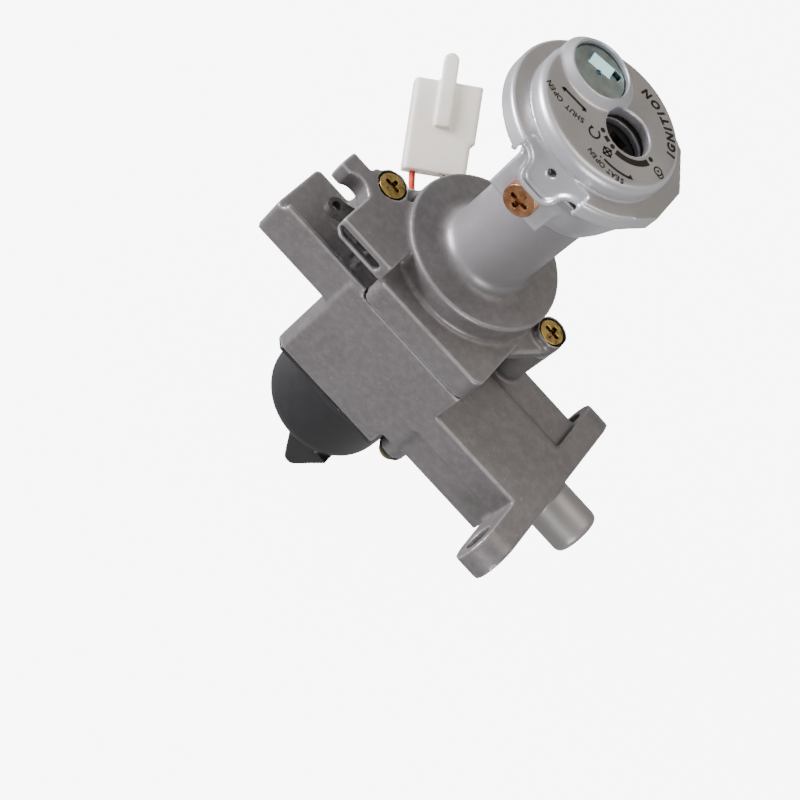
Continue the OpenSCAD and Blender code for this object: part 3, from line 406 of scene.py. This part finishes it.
plug = cast("plug_housing", finish("milky_nylon", nylon), cell=0.36, rounds=5)
sleeve_line = smooth([own(*p) for p in ((4, 16, -72), (4, 16, -66), (4, 16.2, -58), (3, 16.8, -48),
                                        (-1, 17.6, -38))])
rubber = insulation("rubber_sleeve", (0.012, 0.012, 0.013), (0.03, 0.03, 0.032), 0.55)
lay_cord("lead_sleeve", "sleeve", sleeve_line, 5.5, rubber, far_end="bare")

wires_line = [own(*p) for p in ((-1.11, 17.62, -37.72), (-2.5, 17.9, -34.2), (-7.2, 18, -29.9),
                                (-13.2, 18, -26.2), (-18.9, 18.2, -22.9), (-23.2, 19.3, -20.4),
                                (-26.29, 22.1, -17.98))]
plug_turn = (Matrix.Rotation(radians(32.61), 3, "Z") @ Matrix.Rotation(radians(-21.98), 3, "Y")
             @ Matrix.Rotation(radians(-58.25), 3, "X"))
plug_wide = plug_turn @ Vector((1, 0, 0))
wire_close, wire_pitch = 1.05, (4.8, 1.8)
wires = {"red": (-1, -1, (0.62, 0.03, 0.015), (0.78, 0.06, 0.03)),
         "orange": (-1, 1, (0.75, 0.22, 0.02), (0.85, 0.32, 0.04)),
         "black": (1, -1, (0.012, 0.012, 0.013), (0.03, 0.03, 0.03)),
         "green": (1, 1, (0.01, 0.11, 0.03), (0.02, 0.17, 0.05))}
for colour, (side, rise, dark, light) in wires.items():
    line, last = [], len(wires_line) - 1
    for i, point in enumerate(wires_line):
        ahead = (wires_line[min(i + 1, last)] - wires_line[max(i - 1, 0)]).normalized()
        across = (plug_wide - plug_wide.dot(ahead) * ahead).normalized()
        spread = [(wire_close + (pitch - wire_close) * i / last) * MM for pitch in wire_pitch]
        line.append(point + spread[0] * side * across + spread[1] * rise * ahead.cross(across))
    name = colour + "_insulation"
    lay_cord("wire_" + colour, name, smooth(line), 1.6, insulation(name, dark, light, 0.32),
             far_end="connector", with_pieces=[plug, "plug_terminals"])

# The switch is moulded in black plastic, satin and a little greyed by handling. Inside it a nylon
# carrier turns a copper bridge over brass contacts in a laminate plate.
satin_black = insulation("satin_black_plastic", (0.009, 0.0085, 0.0095), (0.012, 0.011, 0.0125), 0.38, 0.04)
cast("switch_case", satin_black, cell=0.55, rounds=3)
coat(satin_black, "dust_ring")
coat(finish("white_nylon", nylon), "contact_carrier")
coat(metal("contact_copper", (0.5, 0.24, 0.12), (0.7, 0.4, 0.24), 0.25), "contact_bridge")
coat(insulation("pressed_laminate", (0.1, 0.05, 0.02), (0.17, 0.09, 0.04), 0.5), "contact_base")

# The lock's positions are printed on the cover's face in dark ink: words, arrows, dots and small signs.
# The ink is a thin film, so each mark is a flat shape with hardly any thickness.
face_level = 60.5
print_marks = []


def print_here(x, y, turn=0.0, stretch=(1, 1)):
    """Keeps the new flat shape as a mark, sized, turned and moved to its place on the face."""
    mark = bpy.context.object
    mark.scale = (*stretch, 1)
    mark.rotation_euler.z = radians(turn)
    mark.location = own(x, y, face_level)
    bpy.ops.object.transform_apply(location=True, rotation=True, scale=True)
    print_marks.append(mark)


def print_dot(x, y, r, corners=20, turn=0.0):
    """A round dot, or with three corners the head of an arrow."""
    bpy.ops.mesh.primitive_circle_add(vertices=corners, radius=r * MM, fill_type="NGON")
    print_here(x, y, turn)


def print_bar(x, y, length, width, turn=0.0):
    """A straight bar about its middle."""
    bpy.ops.mesh.primitive_plane_add(size=MM)
    print_here(x, y, turn, (length, width))


def print_arc(x, y, inner, outer, first, angle):
    """A curved bar round a centre: the end of a short bar is spun round it."""
    print_bar(x + (inner + outer) / 2 * cos(radians(first)), y + (inner + outer) / 2 * sin(radians(first)),
              outer - inner, 0.01, first)
    mesh = bpy.context.object.data
    centre = own(x, y, face_level)
    ahead = Vector((-sin(radians(first)), cos(radians(first)), 0))
    for corner in mesh.vertices:
        corner.select = (corner.co - centre).dot(ahead) > 0
    for line in mesh.edges:
        line.select = all(mesh.vertices[k].select for k in line.vertices)
    for patch in mesh.polygons:
        patch.select = False
    bpy.ops.object.mode_set(mode="EDIT")
    bpy.ops.mesh.select_mode(type="EDGE")
    bpy.ops.mesh.spin(steps=16, angle=radians(angle), center=centre, axis=(0, 0, -1))
    bpy.ops.mesh.select_all(action="SELECT")
    bpy.ops.mesh.normals_make_consistent(inside=False)
    bpy.ops.object.mode_set(mode="OBJECT")


def print_word(word, x, y, radius, angles, size, bold=0.0, lean=0.0):
    """Letters round a centre, one at each angle: tops outwards if they run clockwise, else inwards."""
    clockwise = angles[1] < angles[0]
    for letter, angle in zip(word, angles):
        bpy.ops.object.text_add()
        text = bpy.context.object.data
        text.body, text.size, text.align_x = letter, size * MM, "CENTER"
        text.offset, text.shear = bold * MM, lean
        bpy.ops.object.convert(target="MESH")
        foot = radius - 0.34 * size if clockwise else radius + 0.34 * size
        print_here(x + foot * cos(radians(angle)), y + foot * sin(radians(angle)),
                   angle - 90 if clockwise else angle + 90)


boss_at, seat_sign, ring_sign, hook_sign = (-15.3, 6.2), (-0.4, -11.0), (11.6, -1.5), (-5.75, -9.75)
print_word("IGNITION", -2.9, 0, 15.6, (24, 33, 44.5, 53, 61, 69, 78.5, 91), 3.3, 0.17, 0.15)
print_word("SEATOPEN", 0, 0, 15.7, (-64, -69, -74, -79, -87, -92, -97, -102), 2.1, 0.06)
print_word("SHUT", *boss_at, 17.2, (-71.5, -76.5, -81.7, -87), 2.2, 0.06)
print_word("OPEN", *boss_at, 17.2, (-96.2, -101, -105.7, -110.5), 2.2, 0.06)
# The arrows of the shutter and of the seat
print_bar(-14.7, -6.9, 7.6, 0.75, 3.8)
print_dot(-18.1, -7.35, 0.9, 3, 100)
print_dot(-11.3, -6.95, 0.9, 3, 40)
print_arc(0, 0, 13.3, 14.0, -89, 33)
print_dot(7.75, -10.95, 0.95, 3, 35)
print_dot(-0.72, -14.03, 0.25)
# The lock's positions beside the keyhole
for x, y in ((-4.74, -6.75), (-0.4, -8.2), (8.35, -0.6)):
    print_dot(x, y, 0.7)
print_bar(-2.6, -7.8, 1.6, 1.25, -17)
print_arc(0, 0, 7.75, 9.45, -83, 69)
# The signs of running, seat and lock
print_arc(*hook_sign, 1.25, 1.8, -200, 275)
print_dot(-7.1, -9.1, 0.7, 3, 60)
for turn in (-18, 72):
    print_bar(*seat_sign, 3.4, 0.5, turn)
print_arc(*seat_sign, 0.95, 1.4, 0, 359)
print_arc(*ring_sign, 0.95, 1.35, 0, 359)
print_dot(*ring_sign, 0.35)
print_arc(12.6, -1.9, 0.75, 1.1, -120, 200)
bpy.ops.object.select_all(action="DESELECT")
for mark in print_marks:
    mark.select_set(True)
bpy.context.view_layer.objects.active = print_marks[0]
bpy.ops.object.join()
face_print = bpy.context.object
face_print.name = "face_print"
film = face_print.modifiers.new("film", "SOLIDIFY")
film.thickness = 0.03 * MM
film.offset = 1
bpy.ops.object.modifier_apply(modifier="film")
bpy.context.scene.cursor.location = (0, 0, 0)
bpy.ops.object.origin_set(type="ORIGIN_CURSOR")


def ink(s, place):
    """Dull dark ink, thinner in spots."""
    thin = s.noise(place, 900, 3).band(0.3, 0.7)
    return {"Base Color": thin.mixed((0.014, 0.009, 0.008, 1), (0.024, 0.017, 0.015, 1)),
            "Roughness": 0.6 + 0.15 * thin, "Specular IOR Level": 0.15}


face_print.data.materials.append(finish("printing_ink", ink))
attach(face_print, "housing")

# A plain pale floor under the part and a backdrop round it shine evenly, like a light table. The part
# itself is lit by soft studio panels.
floor_level, floor_wide, backdrop_r = -63 * MM, 6, 2.9
bpy.ops.object.select_all(action="DESELECT")
bpy.ops.mesh.primitive_plane_add(size=floor_wide, location=(0, 0, floor_level))
floor = bpy.context.object
floor.name = "floor"


def paper(s, place):
    """Pale paper that glows."""
    shade = s.noise(place, 3, 2).band(0.3, 0.7)
    return {"Base Color": shade.mixed((0.18, 0.18, 0.18, 1), (0.2, 0.2, 0.2, 1)), "Roughness": 0.9,
            "Emission Color": (1.0, 1.0, 1.0, 1), "Emission Strength": 8.0}


floor.data.materials.append(finish("pale_floor", paper))
bpy.ops.object.select_all(action="DESELECT")
bpy.ops.mesh.primitive_uv_sphere_add(segments=48, ring_count=24, radius=backdrop_r)
backdrop = bpy.context.object
backdrop.name = "backdrop"
backdrop.data.materials.append(floor.data.materials[0])
for sheet in (floor, backdrop):
    sheet.visible_diffuse = sheet.visible_glossy = sheet.visible_shadow = False


def panel(name, place, aim, size, power, tint):
    """A square light panel that faces a point."""
    bpy.ops.object.light_add(type="AREA", location=place)
    lamp = bpy.context.object
    lamp.name = name
    lamp.data.size = size
    lamp.data.energy = power
    lamp.data.color = tint
    lamp.rotation_euler = (Vector(aim) - Vector(place)).to_track_quat("-Z", "Y").to_euler()


middle = (-0.06, 0.0, 0.02)
panel("front_panel", (0.55, -0.85, 0.15), middle, 0.5, 7.5, (0.97, 0.95, 1.0))
panel("left_panel", (-1.05, -0.3, 0.15), middle, 0.5, 33, (0.97, 0.95, 1.0))
panel("top_panel", (0.2, 0.2, 1.4), middle, 0.9, 8.5, (1.0, 0.91, 0.82))
world = bpy.data.worlds.new("studio")
world.use_nodes = True
world.node_tree.nodes["Background"].inputs[0].default_value = (1, 1, 1, 1)
world.node_tree.nodes["Background"].inputs[1].default_value = 0.5
bpy.context.scene.world = world

bpy.context.view_layer.update()
